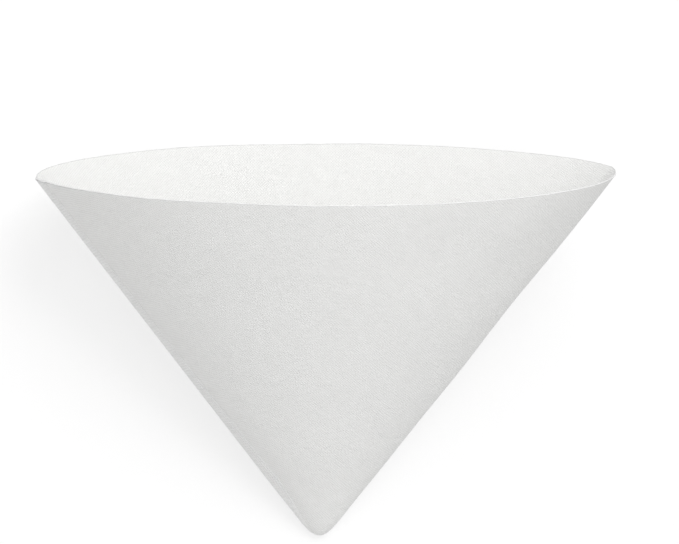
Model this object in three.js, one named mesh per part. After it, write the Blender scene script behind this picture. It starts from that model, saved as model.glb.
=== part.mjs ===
// Fryer oil filter cone, pushed open and lying on its broad back wall.
// It is one piece of white nonwoven sheet: a half disc brought round into a cone, with its two
// straight edges lapped over each other and pressed together along the left crease.
// Millimetres, +Z up. The tip points to -Y and the mouth opens to +Y.

import * as THREE from 'three';

// Driving dimensions
const CREASE_LENGTH = 254; // along a side crease, from the point that the walls aim at to the rim
const MOUTH_WIDTH = 312; // from crease to crease
const MOUTH_DEPTH = 176; // from the front wall to the back wall, before the back settles flat
const MOUTH_POINTEDNESS = 0.2; // 0 is an ellipse, 1 is two parabolas that meet at the creases
const SHEET_THICKNESS = 0.8;
const TIP_INSIDE_RADIUS = 0.8; // across the narrow way of the blunt tip
const CREASE_PEAK = 1.2; // how far a crease stands out from the oval at the mouth
const CREASE_SPREAD = 5; // how far along the wall a crease fades out
const CREASE_ROUNDING = 1.5;
const REST_WIDTH = 70; // of the settled back wall at the mouth
const REST_BLEND = 1.8; // depth over which the settled back runs into the oval
const SEAM_LAP = 10; // overlap of the two straight edges
const SEAM_RISE = 0.5; // what the pressed second layer adds to the wall
const SEAM_RAMP = 3; // where the upper layer comes down beside the lap
const SEAM_TAPER = 40; // nearer to the tip than this, the lap narrows with the cone
const CUT_EDGE_RUN = 0.3; // how far a cut edge of the lap slopes

// Fineness of the surface
const ROWS = 11; // rings from the tip to the rim
const WALL_COLUMNS = 48; // steps around each of the two walls
const CREASE_CROWDING = 0.7; // 0 spaces the steps evenly, 1 packs them against the creases
const NORMAL_STEP = 1e-4; // share of a turn

// Derived dimensions
const HALF_WIDTH = MOUTH_WIDTH / 2;
const HALF_DEPTH = MOUTH_DEPTH / 2;
const HEIGHT = Math.sqrt(CREASE_LENGTH ** 2 - HALF_WIDTH ** 2);
const REST_DEPTH = HALF_DEPTH * ovalDepth(Math.sqrt(1 - (REST_WIDTH / MOUTH_WIDTH) ** 2));

// The tip stops short of the point that the walls aim at, rounded by a cubic that meets the
// straight wall after three times that distance.
const TIP_POWER = 3;
const TIP_RADIUS_PER_SHORT = (TIP_POWER / (TIP_POWER - 1)) * (HALF_DEPTH / HEIGHT) ** 2;
const TIP_SHORT = (TIP_INSIDE_RADIUS + SHEET_THICKNESS) / TIP_RADIUS_PER_SHORT;
const TIP_END = TIP_POWER * TIP_SHORT;

const nonwoven = new THREE.MeshStandardMaterial({ color: 0xf0f0ec, roughness: 0.95, metalness: 0 });

/** Depth of the pointed oval, as a share of its half depth, where an ellipse has this share. */
function ovalDepth(rise) {
  return rise * (1 - MOUTH_POINTEDNESS + MOUTH_POINTEDNESS * Math.abs(rise));
}

/** The smaller of two lengths, with the corner between them rounded over the given blend. */
function softMin(first, second, blend) {
  const overlap = Math.max(blend - Math.abs(first - second), 0);
  return Math.min(first, second) - overlap ** 2 / (4 * blend);
}

/** Oval of the mouth without its creases: from the left, over the front wall, back under. */
function ovalPoint(turn) {
  const angle = Math.PI * (1 - 2 * turn);
  const depth = HALF_DEPTH * ovalDepth(Math.sin(angle));
  const settled = -softMin(-depth, REST_DEPTH, REST_BLEND);
  return new THREE.Vector3((HALF_WIDTH - CREASE_PEAK) * Math.cos(angle), 0, settled);
}

/** Outline of the mouth, with a soft crease at the left and the right. */
class MouthOutline extends THREE.Curve {
  getPoint(turn, target = new THREE.Vector3()) {
    target.copy(ovalPoint(turn));
    const away = Math.hypot(target.z, CREASE_ROUNDING) - CREASE_ROUNDING;
    target.x += Math.sign(target.x) * CREASE_PEAK * Math.exp(-away / CREASE_SPREAD);
    return target;
  }
}

const outline = new MouthOutline();
outline.arcLengthDivisions = 2000;
const RIM_LENGTH = outline.getLength();

/** Distance along the cone's axis of the ring that is this far from the aimed point. */
function ringHeight(along) {
  const left = Math.max(1 - along / TIP_END, 0);
  return along + TIP_SHORT * left ** TIP_POWER;
}

function ringSlope(along) {
  const left = Math.max(1 - along / TIP_END, 0);
  return 1 - left ** (TIP_POWER - 1);
}

/** Outward direction of the wall, taken from the oval so that a crease doesn't fold the inside. */
function wallNormal(turn, along) {
  const around = ovalPoint(turn + NORMAL_STEP).sub(ovalPoint(turn - NORMAL_STEP));
  const onward = ovalPoint(turn).divideScalar(HEIGHT);
  onward.y = ringSlope(along);
  return around.cross(onward).normalize();
}

/** A point of the wall: along the rim's length, up the cone, and out from the sheet's face. */
function wallPoint(rimShare, along, offset) {
  const turn = outline.getUtoTmapping(rimShare);
  const point = outline.getPoint(turn).multiplyScalar(along / HEIGHT);
  point.y = ringHeight(along);
  return point.addScaledVector(wallNormal(turn, along), offset);
}

/** Columns across the lapped seam, at distances from the left crease towards the front wall. */
const seamColumns = [
  { at: -SEAM_RAMP, outer: 0, inner: 0 },
  { at: -SEAM_RAMP / 2, outer: SEAM_RISE / 2, inner: SEAM_RISE / 2 },
  { at: -CUT_EDGE_RUN, outer: SEAM_RISE, inner: SEAM_RISE },
  { at: 0, outer: SEAM_RISE, inner: 0 },
  { at: SEAM_LAP / 2, outer: SEAM_RISE, inner: 0 },
  { at: SEAM_LAP, outer: SEAM_RISE, inner: 0 },
  { at: SEAM_LAP + CUT_EDGE_RUN, outer: 0, inner: 0 },
];

/** Steps from 0 to 1, both left out, that crowd towards both ends. */
function crowdedSteps(count) {
  const steps = [];
  for (let i = 1; i < count; i++) {
    const even = i / count;
    steps.push(even - (CREASE_CROWDING * Math.sin(2 * Math.PI * even)) / (2 * Math.PI));
  }
  return steps;
}

/** All columns of one ring, as shares of the rim's length, with the offsets of both faces. */
function ringColumns(along) {
  const taper = Math.min(1, along / SEAM_TAPER);
  const mmToShare = (taper * HEIGHT) / (along * RIM_LENGTH);
  const seam = seamColumns.map(({ at, outer, inner }) => ({
    rimShare: at * mmToShare,
    outer: outer * taper,
    inner: inner * taper - SHEET_THICKNESS,
  }));
  const plain = (rimShare) => ({ rimShare, outer: 0, inner: -SHEET_THICKNESS });
  const frontStart = seam.at(-1).rimShare;
  const rightCrease = 0.5;
  const backEnd = 1 + seam[0].rimShare;
  const steps = crowdedSteps(WALL_COLUMNS);
  const front = steps.map((step) => plain(THREE.MathUtils.lerp(frontStart, rightCrease, step)));
  const back = steps.map((step) => plain(THREE.MathUtils.lerp(rightCrease, backEnd, step)));
  return [...seam, ...front, plain(rightCrease), ...back];
}

/** One ring of points on the outer or the inner face. */
function ring(along, face) {
  return ringColumns(along).map((column) => {
    const rimShare = THREE.MathUtils.euclideanModulo(column.rimShare, 1);
    return wallPoint(rimShare, along, column[face]);
  });
}

/** A closed surface through rings of points, drawn together to a point at each end. */
function skin(firstTip, rings, lastTip) {
  const columns = rings[0].length;
  const lastRow = rings.length - 1;
  const lastTipIndex = 1 + rings.length * columns;
  const vertex = (row, column) => 1 + row * columns + (column % columns);
  const indices = [];
  for (let column = 0; column < columns; column++) {
    indices.push(0, vertex(0, column + 1), vertex(0, column));
    indices.push(lastTipIndex, vertex(lastRow, column), vertex(lastRow, column + 1));
    for (let row = 0; row < lastRow; row++) {
      const near = [vertex(row, column), vertex(row, column + 1)];
      const far = [vertex(row + 1, column), vertex(row + 1, column + 1)];
      indices.push(near[0], near[1], far[0], near[1], far[1], far[0]);
    }
  }
  const geometry = new THREE.BufferGeometry().setFromPoints([firstTip, ...rings.flat(), lastTip]);
  geometry.setIndex(indices);
  geometry.computeVertexNormals();
  return geometry;
}

/** The whole sheet: up the outer face to the rim, over its cut edge and down the inner face. */
function coneGeometry() {
  const heights = [];
  for (let row = 1; row <= ROWS; row++) heights.push(HEIGHT * (row / ROWS) ** 2);
  const outerRings = heights.map((along) => ring(along, 'outer'));
  const innerRings = heights.map((along) => ring(along, 'inner')).reverse();
  const outerTip = new THREE.Vector3(0, TIP_SHORT, 0);
  const innerTip = new THREE.Vector3(0, TIP_SHORT + SHEET_THICKNESS, 0);
  return skin(outerTip, [...outerRings, ...innerRings], innerTip);
}

const cone = new THREE.Mesh(coneGeometry(), nonwoven);
cone.name = 'filter_cone';

// The cone lies with its settled back wall level, centred on the surface that it rests on.
cone.rotation.x = Math.atan2(REST_DEPTH, HEIGHT);
cone.updateMatrixWorld(true);
const box = new THREE.Box3().setFromObject(cone, true);
const middle = box.getCenter(new THREE.Vector3());
cone.position.set(-middle.x, -middle.y, -box.min.z);

const filterCone = new THREE.Group();
filterCone.add(cone);

export default filterCone;
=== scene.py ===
import math

import bpy
import numpy as np
from mathutils import Matrix, Vector


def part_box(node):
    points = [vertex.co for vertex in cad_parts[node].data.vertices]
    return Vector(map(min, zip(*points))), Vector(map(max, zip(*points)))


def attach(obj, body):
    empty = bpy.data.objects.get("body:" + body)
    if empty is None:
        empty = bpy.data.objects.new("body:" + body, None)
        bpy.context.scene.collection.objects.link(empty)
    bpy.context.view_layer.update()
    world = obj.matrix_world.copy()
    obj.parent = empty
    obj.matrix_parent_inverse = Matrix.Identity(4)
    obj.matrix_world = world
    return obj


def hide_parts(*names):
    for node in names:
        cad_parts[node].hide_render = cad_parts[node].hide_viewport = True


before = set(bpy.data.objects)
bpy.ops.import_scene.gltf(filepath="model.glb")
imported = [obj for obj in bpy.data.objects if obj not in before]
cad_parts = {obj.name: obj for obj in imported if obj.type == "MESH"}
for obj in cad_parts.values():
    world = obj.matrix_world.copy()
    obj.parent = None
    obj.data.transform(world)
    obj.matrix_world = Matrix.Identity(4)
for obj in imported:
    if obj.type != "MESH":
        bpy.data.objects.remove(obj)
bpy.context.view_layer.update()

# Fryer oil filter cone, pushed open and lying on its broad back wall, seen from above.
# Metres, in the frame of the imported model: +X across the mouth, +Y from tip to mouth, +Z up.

MM = 0.001

# Driving dimensions, the same as the solid's
CREASE_LENGTH = 254 * MM
MOUTH_WIDTH = 312 * MM
MOUTH_DEPTH = 176 * MM
MOUTH_POINTEDNESS = 0.2
SHEET_THICKNESS = 0.8 * MM
TIP_INSIDE_RADIUS = 0.8 * MM
CREASE_PEAK = 1.2 * MM
CREASE_SPREAD = 5 * MM
CREASE_ROUNDING = 1.5 * MM
REST_WIDTH = 70 * MM
REST_BLEND = 1.8 * MM
SEAM_LAP = 10 * MM
SEAM_RISE = 0.5 * MM
SEAM_RAMP = 3 * MM
SEAM_TAPER = 40 * MM
CUT_EDGE_RUN = 0.3 * MM

# Detail that only the looks have
WELD_ROWS = 5
WELD_ROW_GAP = 2 * MM
WELD_PITCH = 1.6 * MM
WELD_RADIUS = 0.6 * MM
WELD_DEPTH = 0.38 * MM
RIM_BEVEL = 0.15 * MM
LAP_FEATHER = 0.5 * MM  # over which the lap's outer cut edge thins out
LAP_FOOT = SEAM_LAP + LAP_FEATHER
PATTERN_JUMP = 0.02 * MM  # from one layer's flat pattern to the other's
RIM_RAGGEDNESS = 0.06 * MM
WAVE_HEIGHT = 0.08 * MM  # of each slow wave in the sheet
WAVE_COUNT = 12
WAVE_LENGTHS = (35 * MM, 110 * MM)  # shortest and longest
WAVE_FADE = 0.5  # power with which the waves fade out towards the seam
RANDOM_SEED = 11

# Fineness of the surface
BAND_STEP = WELD_PITCH / 4  # between rows of points along the seam
WELD_STEP = 1 / 3 * MM  # between points across the seam
WALL_ROW_STEPS = 12  # seam rows for each row of the plain wall
TIP_ROW_GROWTH = 2  # rows at the tip before the gap grows by one seam row
WALL_COLUMNS = 180  # steps around each of the two walls
CREASE_CROWDING = 0.7  # 0 spaces the steps evenly, 1 packs them against the creases
NORMAL_STEP = 1e-4  # share of a turn
OUTLINE_POINTS = 8001  # at which the mouth's outline is measured
LAYER_OFFSET = 10 * MM  # between the faces' flat patterns, so that their fibres differ
SHARP_ANGLE = math.radians(50)

# Derived dimensions
HALF_WIDTH = MOUTH_WIDTH / 2
HALF_DEPTH = MOUTH_DEPTH / 2
HEIGHT = math.sqrt(CREASE_LENGTH**2 - HALF_WIDTH**2)
TIP_POWER = 3
TIP_RADIUS_PER_SHORT = TIP_POWER / (TIP_POWER - 1) * (HALF_DEPTH / HEIGHT) ** 2
TIP_SHORT = (TIP_INSIDE_RADIUS + SHEET_THICKNESS) / TIP_RADIUS_PER_SHORT
TIP_END = TIP_POWER * TIP_SHORT


def oval_depth(rise):
    """Depth of the pointed oval, as a share of its half depth, where an ellipse has this share."""
    return rise * (1 - MOUTH_POINTEDNESS + MOUTH_POINTEDNESS * abs(rise))


REST_DEPTH = HALF_DEPTH * oval_depth(math.sqrt(1 - (REST_WIDTH / MOUTH_WIDTH) ** 2))
CONE_TILT = math.atan2(REST_DEPTH, HEIGHT)


def soft_min(first, second, blend):
    """The smaller of two lengths, with the corner between them rounded."""
    overlap = np.maximum(blend - np.abs(first - second), 0)
    return np.minimum(first, second) - overlap**2 / (4 * blend)


def oval_point(turn):
    """Oval of the mouth without its creases: from the left, over the front wall, back under."""
    angle = math.pi * (1 - 2 * turn)
    depth = HALF_DEPTH * oval_depth(np.sin(angle))
    settled = -soft_min(-depth, REST_DEPTH, REST_BLEND)
    return np.stack([(HALF_WIDTH - CREASE_PEAK) * np.cos(angle), 0 * settled, settled], axis=-1)


def outline_point(turn):
    """Outline of the mouth, with a soft crease at the left and the right."""
    point = oval_point(turn)
    away = np.hypot(point[..., 2], CREASE_ROUNDING) - CREASE_ROUNDING
    point[..., 0] += np.sign(point[..., 0]) * CREASE_PEAK * np.exp(-away / CREASE_SPREAD)
    return point


def lengths_along(points):
    """Length of the polyline up to each of its points."""
    steps = np.linalg.norm(np.diff(points, axis=0), axis=1)
    return np.concatenate([[0], np.cumsum(steps)])


TURNS = np.linspace(0, 1, OUTLINE_POINTS)
RIM = outline_point(TURNS)
RIM_LENGTHS = lengths_along(RIM)
RIM_LENGTH = RIM_LENGTHS[-1]
GENERATORS = RIM + np.array([0, HEIGHT, 0])
GENERATOR_LENGTHS = np.linalg.norm(GENERATORS, axis=1)
FLAT_ANGLES = lengths_along(GENERATORS / GENERATOR_LENGTHS[:, None])


def ring_height(along):
    """Distance along the axis of the ring that is this far from the aimed point."""
    left = np.maximum(1 - along / TIP_END, 0)
    return along + TIP_SHORT * left**TIP_POWER


def ring_slope(along):
    """How fast the ring's height grows there, from 0 at the blunt tip to 1."""
    left = np.maximum(1 - along / TIP_END, 0)
    return 1 - left ** (TIP_POWER - 1)


def unit(vectors):
    """The same directions with a length of 1."""
    return vectors / np.linalg.norm(vectors, axis=-1, keepdims=True)


def wall_normal(turn, along):
    """Outward direction of the wall."""
    around = oval_point(turn + NORMAL_STEP) - oval_point(turn - NORMAL_STEP)
    onward = oval_point(turn) / HEIGHT
    onward[..., 1] = ring_slope(along)
    return unit(np.cross(around, onward))


def share_to_turn(share):
    """The turn of the outline at this share of the rim's length."""
    return np.interp(np.mod(share, 1) * RIM_LENGTH, RIM_LENGTHS, TURNS)


def flat_pattern(share, along):
    """Where a point of the wall lies on the sheet before it was brought round into a cone."""
    inside = np.mod(share, 1) * RIM_LENGTH
    laps = np.floor(share) * FLAT_ANGLES[-1]
    angle = laps + np.interp(inside, RIM_LENGTHS, FLAT_ANGLES)
    radius = np.interp(inside, RIM_LENGTHS, GENERATOR_LENGTHS) * along / HEIGHT
    return np.stack([radius * np.cos(angle), radius * np.sin(angle)], axis=-1)


def slow_waves(share, along):
    """Slight unevenness of a sheet that was folded flat and pushed open again."""
    random = np.random.default_rng(RANDOM_SEED)
    place = flat_pattern(np.mod(share, 1), along)
    total = np.zeros(np.broadcast(share, along).shape)
    for _ in range(WAVE_COUNT):
        direction = random.uniform(0, 2 * math.pi)
        wave_length = random.uniform(*WAVE_LENGTHS)
        phase = random.uniform(0, 2 * math.pi)
        travel = place[..., 0] * math.cos(direction) + place[..., 1] * math.sin(direction)
        total += np.sin(2 * math.pi * travel / wave_length + phase)
    fade_at_seam = np.sin(math.pi * np.mod(share, 1)) ** WAVE_FADE
    fade_at_tip = np.minimum(along / SEAM_TAPER, 1)
    return WAVE_HEIGHT * total * fade_at_seam * fade_at_tip


def weld_depth(across, upward):
    """How far a dot of the lapped seam is pressed in."""
    row = np.clip(np.round(across / WELD_ROW_GAP - 0.5), 0, WELD_ROWS - 1)
    from_row = across - (row + 0.5) * WELD_ROW_GAP
    pitches = upward / WELD_PITCH + 0.5 * np.mod(row, 2)
    from_dot = (pitches - np.round(pitches)) * WELD_PITCH
    away = np.hypot(from_row, from_dot) / WELD_RADIUS
    return WELD_DEPTH * np.maximum(1 - away**2, 0)


def seam_columns():
    """Distances from the left crease towards the front wall, with the rises of both faces."""
    lap_steps = round(SEAM_LAP / WELD_STEP)
    at = [-SEAM_RAMP, -SEAM_RAMP / 2, -CUT_EDGE_RUN, -PATTERN_JUMP]
    outer = [0, SEAM_RISE / 2, SEAM_RISE, SEAM_RISE]
    inner = [0, SEAM_RISE / 2, SEAM_RISE, 0]
    for step in range(lap_steps + 1):
        at.append(SEAM_LAP * step / lap_steps)
        outer.append(SEAM_RISE)
        inner.append(0)
    at.extend([LAP_FOOT, LAP_FOOT + PATTERN_JUMP])
    outer.extend([0, 0])
    inner.extend([0, 0])
    return np.array(at), {"outer": np.array(outer), "inner": np.array(inner)}


SEAM_AT, SEAM_RISES = seam_columns()


def crowded_steps(count):
    """Steps from 0 to 1, both left out, that crowd towards both ends."""
    even = np.arange(1, count) / count
    return even - CREASE_CROWDING * np.sin(2 * math.pi * even) / (2 * math.pi)


def seam_shares(along):
    """Shares of the rim's length at the seam's columns, one row for each ring."""
    taper = np.minimum(1, along / SEAM_TAPER)
    return SEAM_AT[None, :] * (taper * HEIGHT / (along * RIM_LENGTH))[:, None]


def wall_shares(along):
    """Shares of the rim's length at the plain wall's columns, one row for each ring."""
    seam = seam_shares(along)
    front_start = seam[:, -1:]
    back_end = 1 + seam[:, :1]
    steps = crowded_steps(WALL_COLUMNS)[None, :]
    right_crease = np.full((len(along), 1), 0.5)
    front = front_start + (right_crease - front_start) * steps
    back = right_crease + (back_end - right_crease) * steps
    return np.concatenate([front, right_crease, back], axis=1)


def wall_points(share, along, offset):
    """Points of the wall: along the rim's length, up the cone, and out from the sheet's face."""
    turn = share_to_turn(share)
    point = outline_point(turn) * (along / HEIGHT)[..., None]
    point[..., 1] = ring_height(along)
    lifted = offset + slow_waves(share, along)
    return point + wall_normal(turn, along) * lifted[..., None]


def face_points(face, along, shares, rises):
    """Points of one face of the sheet, for a grid of rings and columns."""
    grid_along = np.broadcast_to(along[:, None], shares.shape)
    depth = 0 if face == "outer" else -SHEET_THICKNESS
    return wall_points(shares, grid_along, rises + depth)


# What the material reads at each point, besides the flat pattern, from 0 to 1
TRAITS = ("welded", "doubled", "cut_edge", "pressed_edge")
RIM_SHADE_SHARE = 0.8  # share of painted shade on both faces at the rim
CUT_RIM_SHADE_SHARE = 0.2  # share of painted shade on the cut rim itself


class SheetMesh:
    """Collects the points, flat pattern and faces of the closed sheet."""

    def __init__(self):
        self.points = []
        self.pattern = []
        self.traits = {name: [] for name in TRAITS}
        self.faces = []
        self.count = 0

    def add_points(self, points, pattern, **traits):
        """Adds a grid of points and returns the grid of their numbers."""
        shape = points.shape[:-1]
        size = int(np.prod(shape))
        self.points.append(points.reshape(-1, 3))
        self.pattern.append(pattern.reshape(-1, 3))
        for name, parts in self.traits.items():
            parts.append(np.broadcast_to(traits.get(name, 0.0), shape).ravel())
        numbers = self.count + np.arange(size).reshape(shape)
        self.count += size
        return numbers

    def add_quads(self, near, far, flip):
        """Quads between two rows of numbers, or between the rows of two grids."""
        corners = [near[..., :-1], near[..., 1:], far[..., 1:], far[..., :-1]]
        if flip:
            corners.reverse()
        self.faces.extend(np.stack(corners, axis=-1).reshape(-1, 4).tolist())

    def add_face(self, numbers, flip):
        """Adds one face with any number of corners."""
        loop = [int(number) for number in numbers]
        self.faces.append(loop[::-1] if flip else loop)

    def add_fan(self, tip, ring, flip):
        """Adds triangles from a tip to the ring around it."""
        for here, there in zip(ring, np.roll(ring, -1)):
            self.add_face([tip, there, here], flip)


def row_steps():
    """Numbers of the seam rows that the plain wall shares: close at the tip, then even."""
    last = round(CREASE_LENGTH / BAND_STEP)
    rows = [1]
    while rows[-1] < last:
        step = min(WALL_ROW_STEPS, 1 + len(rows) // TIP_ROW_GROWTH)
        rows.append(min(rows[-1] + step, last))
    rows.insert(-1, last - 1)
    return np.array(rows)


def layer_pattern(shares, along, layer):
    """Flat pattern of the outer face (layer 0) or the inner one (layer 1)."""
    flat = flat_pattern(shares, along)
    offset = np.full(flat.shape[:-1] + (1,), layer * LAYER_OFFSET)
    return np.concatenate([flat, offset], axis=-1)


def rim_shade_rows(row_count):
    """Painted shade only in the last of the rows, at the rim."""
    # pressed holds the share of painted shade, not a real pressing
    pressed = np.zeros((row_count, 1))
    pressed[-1] = RIM_SHADE_SHARE
    return pressed


def add_seam(mesh, face, along):
    """Adds the points across the lapped seam, with its weld dots."""
    inner = face == "inner"
    shares = seam_shares(along)
    taper = np.minimum(1, along / SEAM_TAPER)[:, None]
    upward = (along * CREASE_LENGTH / HEIGHT)[:, None]
    welds = weld_depth(SEAM_AT[None, :], upward) * (SEAM_AT >= 0) * (SEAM_AT <= SEAM_LAP)
    rises = (SEAM_RISES[face][None, :] + (welds if inner else -welds)) * taper
    far_end = SEAM_AT < (0 if inner else LAP_FOOT + PATTERN_JUMP / 2)
    pattern_shares = shares + np.where(far_end, 1.0, 0.0)[None, :]
    along_grid = np.broadcast_to(along[:, None], shares.shape)
    return mesh.add_points(
        face_points(face, along, shares, rises),
        layer_pattern(pattern_shares, along_grid, inner),
        welded=welds * taper / WELD_DEPTH,
        doubled=(SEAM_RISES["outer"] / SEAM_RISE)[None, :],
        pressed_edge=rim_shade_rows(len(along)),
    )


def add_wall(mesh, face, along):
    """Adds the points of the plain wall, which leaves out the seam."""
    shares = wall_shares(along)
    along_grid = np.broadcast_to(along[:, None], shares.shape)
    return mesh.add_points(
        face_points(face, along, shares, np.zeros(shares.shape)),
        layer_pattern(shares, along_grid, face == "inner"),
        pressed_edge=rim_shade_rows(len(along)),
    )


def add_face_of_sheet(mesh, face, seam_along, rows):
    """Adds the outer or inner face and returns its last ring and its first ring."""
    inner = face == "inner"
    seam = add_seam(mesh, face, seam_along)
    wall = add_wall(mesh, face, seam_along[rows - 1])
    mesh.add_quads(seam[:-1], seam[1:], inner)
    mesh.add_quads(wall[:-1], wall[1:], inner)
    for row, (start, end) in enumerate(zip(rows[:-1], rows[1:])):
        front_border = seam[start - 1 : end, -1]
        back_border = seam[start - 1 : end, 0]
        mesh.add_face([*front_border[::-1], wall[row, 0], wall[row + 1, 0]], inner)
        mesh.add_face([wall[row + 1, -1], wall[row, -1], *back_border], inner)
    last_ring = np.concatenate([seam[-1], wall[-1]])
    first_ring = np.concatenate([seam[0], wall[0]])
    return last_ring, first_ring


def ring_of_shares(along):
    """Shares of the rim's length all the way round one ring."""
    along = np.array([along])
    return np.concatenate([seam_shares(along), wall_shares(along)], axis=1)


def add_rim_ring(mesh, face):
    """One edge of the cut rim, drawn in from the sheet's face by the bevel."""
    shares = ring_of_shares(HEIGHT)
    rises = np.zeros(shares.shape)
    rises[0, : len(SEAM_AT)] = SEAM_RISES[face]
    bevel = RIM_BEVEL if face == "inner" else -RIM_BEVEL
    points = face_points(face, np.array([HEIGHT]), shares, rises + bevel)
    random = np.random.default_rng(RANDOM_SEED)
    points[..., 1] += RIM_RAGGEDNESS * random.standard_normal(points.shape[:-1])
    along_grid = np.full(shares.shape, HEIGHT)
    pattern = layer_pattern(shares, along_grid, face == "inner")
    # the cut rim gets a painted highlight and a little painted shade
    return mesh.add_points(points, pattern, cut_edge=1.0, pressed_edge=CUT_RIM_SHADE_SHARE)[0]


def sheet_mesh():
    """The whole sheet: up the outer face, over the cut rim and down the inner face."""
    mesh = SheetMesh()
    rows = row_steps()
    seam_along = (HEIGHT - RIM_BEVEL) * np.arange(1, rows[-1] + 1) / rows[-1]
    outer_last, outer_first = add_face_of_sheet(mesh, "outer", seam_along, rows)
    inner_last, inner_first = add_face_of_sheet(mesh, "inner", seam_along, rows)
    outer_rim = add_rim_ring(mesh, "outer")
    inner_rim = add_rim_ring(mesh, "inner")
    rings = [outer_last, outer_rim, inner_rim, inner_last]
    for lower, upper in zip(rings[:-1], rings[1:]):
        mesh.add_quads(np.append(lower, lower[0]), np.append(upper, upper[0]), False)
    tips = np.array([[0, TIP_SHORT, 0], [0, TIP_SHORT + SHEET_THICKNESS, 0]])
    tip_numbers = mesh.add_points(tips, np.zeros((2, 3)))
    mesh.add_fan(tip_numbers[0], outer_first, False)
    mesh.add_fan(tip_numbers[1], inner_first, True)
    return mesh


def place_on_floor(points):
    """Turns the cone onto its back wall and puts it where the solid lies."""
    cosine, sine = math.cos(CONE_TILT), math.sin(CONE_TILT)
    turned = points.copy()
    turned[:, 1] = points[:, 1] * cosine - points[:, 2] * sine
    turned[:, 2] = points[:, 1] * sine + points[:, 2] * cosine
    lowest, highest = (np.array(corner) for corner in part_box("filter_cone"))
    middle = (turned.min(axis=0) + turned.max(axis=0)) / 2
    turned += (lowest + highest) / 2 - middle
    turned[:, 2] = np.maximum(turned[:, 2], 0)
    return turned


def make_cone(material):
    """The cone as one object that stands for the solid."""
    built = sheet_mesh()
    points = place_on_floor(np.concatenate(built.points))
    mesh = bpy.data.meshes.new("cone_sheet")
    mesh.from_pydata(points.tolist(), [], built.faces)
    flat = mesh.attributes.new("flat_pattern", "FLOAT_VECTOR", "POINT")
    flat.data.foreach_set("vector", (np.concatenate(built.pattern) / MM).ravel())
    for name, parts in built.traits.items():
        trait = mesh.attributes.new(name, "FLOAT", "POINT")
        trait.data.foreach_set("value", np.concatenate(parts))
    mesh.shade_smooth()
    mesh.set_sharp_from_angle(angle=SHARP_ANGLE)
    mesh.materials.append(material)
    mesh.validate()
    cone = bpy.data.objects.new("cone_sheet", mesh)
    bpy.context.scene.collection.objects.link(cone)
    return cone


class Nodes:
    """Short calls for adding and linking the nodes of a material or the world."""

    def __init__(self, owner):
        owner.use_nodes = True
        self.tree = owner.node_tree
        self.tree.nodes.clear()

    def add(self, kind, inputs=None, **settings):
        """Adds a node and fills its inputs, which go by name or number."""
        node = self.tree.nodes.new(kind)
        for name, value in settings.items():
            setattr(node, name, value)
        for name, value in (inputs or {}).items():
            self.put(node.inputs[name], value)
        return node

    def put(self, socket, value):
        """Links another node's output to the socket, or sets a plain value on it."""
        if isinstance(value, bpy.types.NodeSocket):
            self.tree.links.new(value, socket)
        else:
            socket.default_value = value

    def math(self, operation, first, second=0.0):
        return self.add("ShaderNodeMath", {0: first, 1: second}, operation=operation).outputs[0]

    def noise(self, vector, scale, detail=2.0, roughness=0.5):
        inputs = {"Vector": vector, "Scale": scale, "Detail": detail, "Roughness": roughness}
        return self.add("ShaderNodeTexNoise", inputs).outputs["Fac"]

    def spread(self, value, low, high, new_low, new_high):
        inputs = {"Value": value, "From Min": low, "From Max": high}
        inputs.update({"To Min": new_low, "To Max": new_high})
        return self.add("ShaderNodeMapRange", inputs).outputs["Result"]

    def blend(self, share, first, second):
        inputs = {"Factor": share, "A": first, "B": second}
        node = self.add("ShaderNodeMix", data_type="RGBA")
        for socket in node.inputs:
            if socket.enabled and socket.name in inputs:
                self.put(socket, inputs[socket.name])
        return next(socket for socket in node.outputs if socket.enabled)

    def bump(self, height, strength, distance, under=None):
        inputs = {"Height": height, "Strength": strength, "Distance": distance}
        if under is not None:
            inputs["Normal"] = under
        return self.add("ShaderNodeBump", inputs).outputs["Normal"]

    def turned(self, vector, degrees, scale):
        """The flat pattern turned by an angle and stretched, so that a noise becomes threads."""
        inputs = {"Vector": vector, "Rotation": (0, 0, math.radians(degrees)), "Scale": scale}
        return self.add("ShaderNodeMapping", inputs).outputs["Vector"]


# Nonwoven: widths, lengths and sizes are millimetres of the flat pattern
FIBRE_DIRECTIONS = (12, 67, 118, 159)  # degrees
FIBRE_WIDTH = 0.16
FIBRE_LENGTH = 2.4
FIBRE_BEND = 1.2  # how far the fibres wander
FIBRE_PATCH = 5.0  # size of a patch that wanders together
HATCH_PITCH = 1.1
HATCH_WANDER = 0.5  # how far the ribs wander
WANDER_DETAIL = 1.0
NOISE_MIDDLE = (0.5, 0.5, 0.5)
CLOUD_SIZE = 6.0
CLOUD_DETAIL = 3.0
CLOUD_ROUGHNESS = 0.55
SPECK_SIZE = 0.8
HATCH_TONE = 0.5  # share that the ribs have in the lighter and darker tones
CLOUD_TONE = 0.15
SPECK_TONE = 0.15
FIBRE_TONE = 0.25
TONE_RANGE = (0.32, 0.84)  # sums of the four that are wholly thin and wholly thick
THIN_COLOUR = (0.79, 0.79, 0.775, 1)
THICK_COLOUR = (0.93, 0.93, 0.92, 1)
WELD_COLOUR = (0.74, 0.74, 0.73, 1)
DOUBLED_COLOUR = (0.95, 0.95, 0.945, 1)
# painted highlight: the cut rim is made whiter than the sheet, for the light on its up-facing edge
CUT_EDGE_HIGHLIGHT = (0.97, 0.97, 0.965, 1)
# painted shade: a dark line along the rim's corners
RIM_SHADE_COLOUR = (0.6, 0.6, 0.595, 1)
DOUBLED_SHARE = 0.75  # how far the lap takes on its colour
WELD_SHARE = 0.75  # how far a dot takes on its colour
HATCH_BUMP = (0.8, 0.12 * MM)  # strength, and height in metres
FIBRE_BUMP = (0.6, 0.32 * MM)
FIBRE_RANGE = (0.4, 0.8)  # fibre heights over which the roughness falls
ROUGHNESS_RANGE = (0.98, 0.88)
WELD_SMOOTHING = 0.35  # what a dot takes off the roughness
SHEET_SPECULAR = 0.25
SHEEN = 0.08
SHEEN_ROUGHNESS = 0.6


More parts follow.
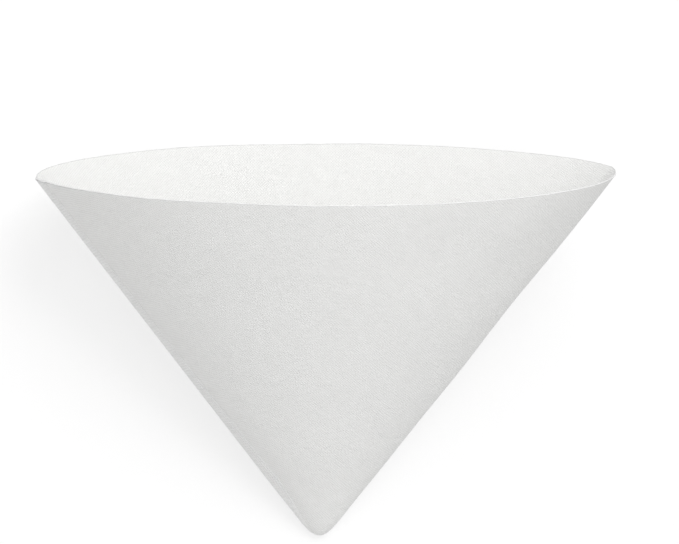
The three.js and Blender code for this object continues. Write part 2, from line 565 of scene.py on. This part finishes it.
def wandering(nodes, place, size, reach):
    """The flat pattern shifted about by up to reach, over patches of the given size."""
    drift = nodes.add(
        "ShaderNodeTexNoise", {"Vector": place, "Scale": 1 / size, "Detail": WANDER_DETAIL}
    )
    centred = nodes.add(
        "ShaderNodeVectorMath",
        {0: drift.outputs["Color"], 1: NOISE_MIDDLE},
        operation="SUBTRACT",
    )
    shift = nodes.add(
        "ShaderNodeVectorMath", {0: centred.outputs[0], "Scale": 2 * reach}, operation="SCALE"
    )
    moved = nodes.add("ShaderNodeVectorMath", {0: place, 1: shift.outputs[0]}, operation="ADD")
    return moved.outputs[0]


def fibre_height(nodes, place):
    """Fine crossing fibres: noises drawn out along several directions."""
    bent = wandering(nodes, place, FIBRE_PATCH, FIBRE_BEND)
    total = 0.0
    for degrees in FIBRE_DIRECTIONS:
        thread = nodes.turned(bent, degrees, (1 / FIBRE_LENGTH, 1 / FIBRE_WIDTH, 1))
        total = nodes.math("MAXIMUM", nodes.noise(thread, 1.0, detail=0.0), total)
    return total


def hatch_height(nodes, place):
    """Fine ribs along and across the blank's straight edge, so that they lie askew on the cone."""
    wandered = wandering(nodes, place, CLOUD_SIZE, HATCH_WANDER)
    axes = nodes.add("ShaderNodeSeparateXYZ", {0: wandered})
    waves = []
    for axis in ("X", "Y"):
        angle = nodes.math("MULTIPLY", axes.outputs[axis], 2 * math.pi / HATCH_PITCH)
        waves.append(nodes.math("SINE", angle))
    crossed = nodes.math("MAXIMUM", waves[0], waves[1])
    return nodes.spread(crossed, -1, 1, 0, 1)


def sheet_tone(nodes, place, hatch, fibres):
    """0 where the fibres lie thin to 1 where they lie thick."""
    clouds = nodes.noise(place, 1 / CLOUD_SIZE, CLOUD_DETAIL, CLOUD_ROUGHNESS)
    specks = nodes.noise(place, 1 / SPECK_SIZE)
    parts = ((hatch, HATCH_TONE), (clouds, CLOUD_TONE), (specks, SPECK_TONE), (fibres, FIBRE_TONE))
    tone = 0.0
    for part, weight in parts:
        tone = nodes.math("ADD", nodes.math("MULTIPLY", part, weight), tone)
    return nodes.spread(tone, *TONE_RANGE, 0, 1)


def sheet_colour(nodes, tone, traits):
    """Colour by the fibres' thickness, then by the lap and its dots, then a painted highlight on
    the cut rim and painted shade along the rim.
    """
    lap = nodes.math("MULTIPLY", traits["doubled"], DOUBLED_SHARE)
    dots = nodes.math("MULTIPLY", traits["welded"], WELD_SHARE)
    colour = nodes.blend(tone, THIN_COLOUR, THICK_COLOUR)
    colour = nodes.blend(lap, colour, DOUBLED_COLOUR)
    colour = nodes.blend(dots, colour, WELD_COLOUR)
    # painted highlight on the cut rim
    colour = nodes.blend(traits["cut_edge"], colour, CUT_EDGE_HIGHLIGHT)
    # painted shade along the rim's corners
    return nodes.blend(traits["pressed_edge"], colour, RIM_SHADE_COLOUR)


def sheet_normal(nodes, hatch, fibres, welded):
    """Ribs with fibres on them, pressed flat in the dots."""
    loose = nodes.math("SUBTRACT", 1.0, welded)
    ribs = nodes.bump(nodes.math("MULTIPLY", hatch, loose), *HATCH_BUMP)
    return nodes.bump(nodes.math("MULTIPLY", fibres, loose), *FIBRE_BUMP, ribs)


def sheet_roughness(nodes, fibres, welded):
    """Matte, a little less so on high fibres and in the dots."""
    matte = nodes.spread(fibres, *FIBRE_RANGE, *ROUGHNESS_RANGE)
    return nodes.math("SUBTRACT", matte, nodes.math("MULTIPLY", welded, WELD_SMOOTHING))


def nonwoven_material():
    """White nonwoven: soft matte fibres, a faint hatch, cloudy density and pressed weld dots."""
    material = bpy.data.materials.new("nonwoven_sheet")
    nodes = Nodes(material)
    place = nodes.add("ShaderNodeAttribute", attribute_name="flat_pattern").outputs["Vector"]
    traits = {}
    for name in TRAITS:
        traits[name] = nodes.add("ShaderNodeAttribute", attribute_name=name).outputs["Fac"]
    fibres = fibre_height(nodes, place)
    hatch = hatch_height(nodes, place)
    tone = sheet_tone(nodes, place, hatch, fibres)
    shader = nodes.add(
        "ShaderNodeBsdfPrincipled",
        {
            "Base Color": sheet_colour(nodes, tone, traits),
            "Roughness": sheet_roughness(nodes, fibres, traits["welded"]),
            "Specular IOR Level": SHEET_SPECULAR,
            "Sheen Weight": SHEEN,
            "Sheen Roughness": SHEEN_ROUGHNESS,
            "Normal": sheet_normal(nodes, hatch, fibres, traits["welded"]),
        },
    )
    nodes.add("ShaderNodeOutputMaterial", {"Surface": shader.outputs["BSDF"]})
    return material


def seen_directly(nodes):
    """1 where the camera sees a surface itself, in a reflection or through glass, or else 0."""
    path = nodes.add("ShaderNodeLightPath")
    seen = nodes.math("ADD", path.outputs["Is Camera Ray"], path.outputs["Is Glossy Ray"])
    seen = nodes.math("ADD", seen, path.outputs["Is Transmission Ray"])
    return nodes.math("MINIMUM", seen, 1.0)


# Lights
WORLD_LEVEL = 0.45
KEY_LEVEL = 0.56  # brightness of a white surface at the origin that faces the lamp
KEY_PLACE = Vector((0.2, 0.75, 1.55))
FILL_LEVEL = 0.3
FILL_PLACE = Vector((-0.15, -0.4, 1.1))
LAMP_SIZE = 1.2
WHITE = (1, 1, 1, 1)


def make_world():
    """Even light from all round, in front of a white backdrop."""
    world = bpy.data.worlds.new("studio")
    bpy.context.scene.world = world
    nodes = Nodes(world)
    lighting = nodes.add("ShaderNodeBackground", {"Color": WHITE, "Strength": WORLD_LEVEL})
    backdrop = nodes.add("ShaderNodeBackground", {"Color": WHITE, "Strength": 1.0})
    mixed = nodes.add(
        "ShaderNodeMixShader",
        {0: seen_directly(nodes), 1: lighting.outputs[0], 2: backdrop.outputs[0]},
    )
    nodes.add("ShaderNodeOutputWorld", {"Surface": mixed.outputs[0]})


def make_lamp(name, place, level):
    """A round softbox that looks at the origin, with the power that gives the level there."""
    data = bpy.data.lights.new(name, "AREA")
    data.shape = "DISK"
    data.size = LAMP_SIZE
    data.energy = level * math.pi**2 * place.length_squared
    lamp = bpy.data.objects.new(name, data)
    lamp.location = place
    lamp.rotation_euler = (-place).to_track_quat("-Z", "Y").to_euler()
    bpy.context.scene.collection.objects.link(lamp)


# Floor
FLOOR_RADIUS = 8.0
FLOOR_CORNERS = 96
FLOOR_COLOUR = (0.93, 0.93, 0.93, 1)
FLOOR_ROUGHNESS = 0.25
FLOOR_SPECULAR = 0.3
FLOOR_DROP = 0.1 * MM
FLOOR_WHITENESS = 0.7  # share of the floor's look that is plain white


def make_floor():
    """A white disc that keeps a faint shadow of the cone."""
    mesh = bpy.data.meshes.new("floor")
    angles = np.linspace(0, 2 * math.pi, FLOOR_CORNERS + 1)[:-1]
    ring = [(FLOOR_RADIUS * math.cos(a), FLOOR_RADIUS * math.sin(a), -FLOOR_DROP) for a in angles]
    mesh.from_pydata(ring, [], [list(range(len(ring)))])
    material = bpy.data.materials.new("white_floor")
    nodes = Nodes(material)
    surface = nodes.add(
        "ShaderNodeBsdfPrincipled",
        {
            "Base Color": FLOOR_COLOUR,
            "Roughness": FLOOR_ROUGHNESS,
            "Specular IOR Level": FLOOR_SPECULAR,
        },
    )
    glow = nodes.add("ShaderNodeEmission", {"Color": WHITE, "Strength": 1.0})
    share = nodes.math("MULTIPLY", seen_directly(nodes), FLOOR_WHITENESS)
    mixed = nodes.add(
        "ShaderNodeMixShader", {0: share, 1: surface.outputs[0], 2: glow.outputs[0]}
    )
    nodes.add("ShaderNodeOutputMaterial", {"Surface": mixed.outputs[0]})
    mesh.materials.append(material)
    floor = bpy.data.objects.new("floor", mesh)
    bpy.context.scene.collection.objects.link(floor)


# Camera
CAMERA_TARGET = Vector((0.00816, 0.0262, 0.05))
CAMERA_DISTANCE = 1.5
CAMERA_TILT = math.radians(79.775)
CAMERA_LEAN = math.radians(17.937)
CAMERA_ROLL = math.radians(-4.899)
CAMERA_LENS = 152.27
CAMERA_SENSOR = 36.0


def make_camera():
    """Looks down on the cone from above its front wall, from a little to the left."""
    forward = Vector(
        (
            math.sin(CAMERA_LEAN),
            math.cos(CAMERA_TILT) * math.cos(CAMERA_LEAN),
            -math.sin(CAMERA_TILT) * math.cos(CAMERA_LEAN),
        )
    )
    up = (Vector((0, 1, 0)) - forward * forward.y).normalized()
    right = forward.cross(up)
    rolled_right = math.cos(CAMERA_ROLL) * right + math.sin(CAMERA_ROLL) * up
    rolled_up = -math.sin(CAMERA_ROLL) * right + math.cos(CAMERA_ROLL) * up
    turn = Matrix((rolled_right, rolled_up, -forward)).transposed().to_4x4()
    data = bpy.data.cameras.new("camera")
    data.lens = CAMERA_LENS
    data.sensor_width = CAMERA_SENSOR
    camera = bpy.data.objects.new("camera", data)
    camera.matrix_world = Matrix.Translation(CAMERA_TARGET - forward * CAMERA_DISTANCE) @ turn
    bpy.context.scene.collection.objects.link(camera)
    bpy.context.scene.camera = camera


def declare(cone):
    """Says what the cone stands for and what it rides on."""
    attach(cone, "root")
    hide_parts("filter_cone")


bpy.context.scene.view_settings.view_transform = "Standard"
make_world()
make_lamp("key_softbox", KEY_PLACE, KEY_LEVEL)
make_lamp("fill_softbox", FILL_PLACE, FILL_LEVEL)
make_floor()
make_camera()
declare(make_cone(nonwoven_material()))
